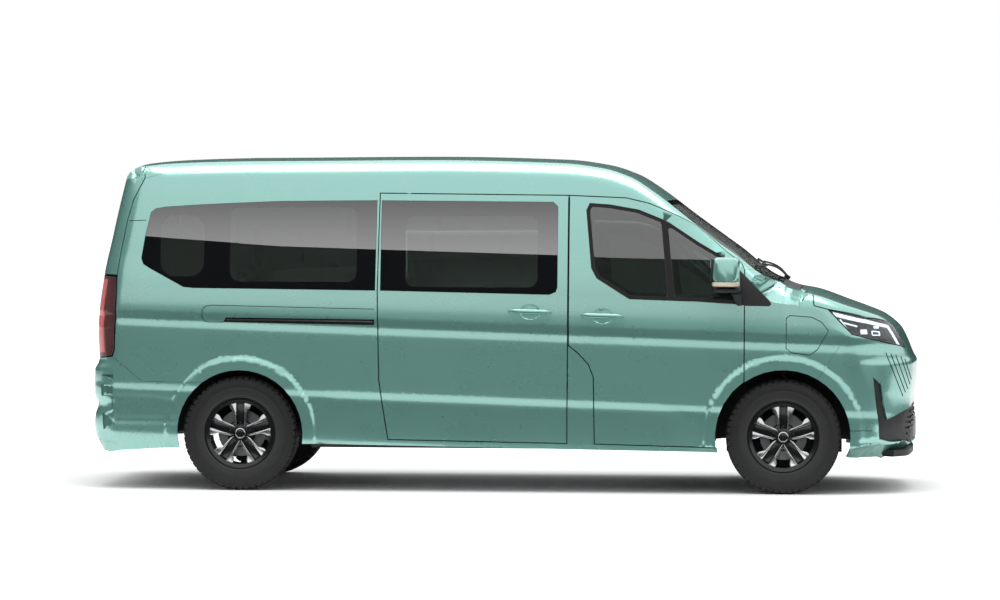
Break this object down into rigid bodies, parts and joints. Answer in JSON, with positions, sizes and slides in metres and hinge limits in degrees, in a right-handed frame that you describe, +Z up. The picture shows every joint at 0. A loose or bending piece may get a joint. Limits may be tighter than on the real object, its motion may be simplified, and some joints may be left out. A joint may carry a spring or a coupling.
{
  "type": "passenger minibus",
  "caption": "High-roofed two-box minibus with sliding side doors, hinged front doors, upward tailgate, bonnet, charge flap, steered front wheels and a seated cabin",
  "frame": {"origin": "on the ground under the middle of the whole box", "axes": "+X forward, +Y to the vehicle's left, +Z up"},
  "size_m": [5.2859, 2.3274, 2.1295],
  "materials": {
    "paint": "satin grey-green body paint",
    "black_plastic": "grained black plastic",
    "gloss_black": "gloss black plastic",
    "glass": "dark tinted glass",
    "lamp": "clear lamp cover over a smoked housing",
    "red_lamp": "red lamp cover",
    "underbody": "dull black underbody coating",
    "steel": "bare dark castings",
    "alloy": "machined light alloy",
    "tyre": "black tyre rubber",
    "trim": "dark grained cabin trim",
    "seat": "dark grey seat cloth"
  },
  "bodies": {
    "shell": {"roof": "paint", "front_bumper": "paint", "rear_bumper": "paint", "right_side": "paint", "left_side": "paint", "right_sliding_door": "paint", "left_sliding_door": "paint", "right_fender": "paint", "left_fender": "paint", "right_pillar": "paint", "left_pillar": "paint", "scuttle": "black_plastic", "lower_grille": "black_plastic", "windscreen": "glass", "right_side_glass": "glass", "left_side_glass": "glass", "right_sliding_glass": "glass", "left_sliding_glass": "glass", "right_headlamp": "lamp", "left_headlamp": "lamp", "right_tail_lamp": "red_lamp", "left_tail_lamp": "red_lamp", "floor": "underbody", "front_bulkhead": "underbody", "rear_wheelhouses": "underbody", "front_subframe": "underbody", "rear_axle": "underbody", "battery_pack": "underbody", "drive_unit": "steel", "dashboard": "trim", "driver_seat": "seat", "passenger_seat": "seat", "second_bench": "seat", "third_bench": "seat"},
    "right_door": {"right_front_door": "paint", "right_front_glass": "glass", "right_mirror": "gloss_black"},
    "right_carrier": {"right_knuckle": "steel"},
    "right_front_wheel": {"right_front_rim": "alloy", "right_front_tyre": "tyre"},
    "right_rear_wheel": {"right_rear_rim": "alloy", "right_rear_tyre": "tyre"},
    "left_door": {"left_front_door": "paint", "left_front_glass": "glass", "left_mirror": "gloss_black"},
    "left_carrier": {"left_knuckle": "steel"},
    "left_front_wheel": {"left_front_rim": "alloy", "left_front_tyre": "tyre"},
    "left_rear_wheel": {"left_rear_rim": "alloy", "left_rear_tyre": "tyre"},
    "rear_gate": {"tailgate": "paint", "tailgate_glass": "glass"},
    "front_lid": {"bonnet": "paint"},
    "flap": {"charge_flap": "paint"},
    "steering": {"steering_wheel": "trim"}
  },
  "joints": [
    {"name": "left_steer", "type": "hinge", "parent": "shell", "child": "left_carrier", "pos_m": [1.79, 0.76, 0.25], "axis": [0, -0.2324, 0.9726], "range_deg": [-35, 35]},
    {"name": "right_steer", "type": "hinge", "parent": "shell", "child": "right_carrier", "pos_m": [1.79, -0.76, 0.25], "axis": [0, 0.2324, 0.9726], "range_deg": [-35, 35]},
    {"name": "right_front_wheel_spin", "type": "hinge", "parent": "right_carrier", "child": "right_front_wheel", "pos_m": [1.79, -0.82, 0.362], "axis": [0, 1, 0], "continuous": true},
    {"name": "left_front_wheel_spin", "type": "hinge", "parent": "left_carrier", "child": "left_front_wheel", "pos_m": [1.79, 0.82, 0.362], "axis": [0, 1, 0], "continuous": true},
    {"name": "right_rear_wheel_spin", "type": "hinge", "parent": "shell", "child": "right_rear_wheel", "pos_m": [-1.66, -0.82, 0.362], "axis": [0, 1, 0], "continuous": true},
    {"name": "left_rear_wheel_spin", "type": "hinge", "parent": "shell", "child": "left_rear_wheel", "pos_m": [-1.66, 0.82, 0.362], "axis": [0, 1, 0], "continuous": true},
    {"name": "steering_wheel_turn", "type": "hinge", "parent": "shell", "child": "steering", "pos_m": [1.02, 0.42, 1.09], "axis": [-0.866, 0, 0.5], "range_deg": [-540, 540]},
    {"name": "right_door_hinge", "type": "hinge", "parent": "shell", "child": "right_door", "pos_m": [1.548, -0.962, 0.9], "axis": [0, 0, 1], "range_deg": [0, 65]},
    {"name": "left_door_hinge", "type": "hinge", "parent": "shell", "child": "left_door", "pos_m": [1.548, 0.962, 0.9], "axis": [0, 0, -1], "range_deg": [0, 65]},
    {"name": "tailgate_hinge", "type": "hinge", "parent": "shell", "child": "rear_gate", "pos_m": [-2.282, 0, 2.1], "axis": [0, 1, 0], "range_deg": [0, 85]},
    {"name": "bonnet_hinge", "type": "hinge", "parent": "shell", "child": "front_lid", "pos_m": [1.908, 0, 1.305], "axis": [0, -1, 0], "range_deg": [0, 50]},
    {"name": "charge_flap_hinge", "type": "hinge", "parent": "shell", "child": "flap", "pos_m": [1.806, -0.957, 1.01], "axis": [0, 0, -1], "range_deg": [0, 100]}
  ],
  "couplings": [
    {"joint": "right_steer", "follows": "left_steer", "ratio": 1},
    {"joint": "steering_wheel_turn", "follows": "left_steer", "ratio": 15}
  ]
}
